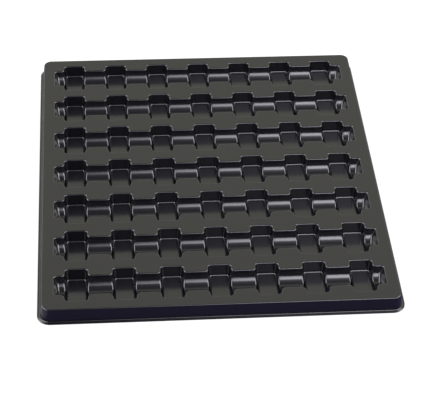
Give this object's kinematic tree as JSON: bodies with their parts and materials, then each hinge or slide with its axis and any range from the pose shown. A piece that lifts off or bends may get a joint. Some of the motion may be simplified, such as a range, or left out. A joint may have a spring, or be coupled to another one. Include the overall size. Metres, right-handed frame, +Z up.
{
  "type": "thermoformed tray",
  "caption": "Formed plastic turnover tray: a flat deck on a flared skirt, with rows of deep rectangular pockets joined by half-round channels.",
  "frame": {"origin": "middle of the tray's outline, on the surface that it stands on", "axes": "+X along the rows, +Y across the rows, +Z up"},
  "size_m": [0.3514, 0.402, 0.0155],
  "materials": {
    "sheet": "semi-gloss black, as formed"
  },
  "bodies": {
    "root": {"tray": "sheet"}
  },
  "joints": []
}
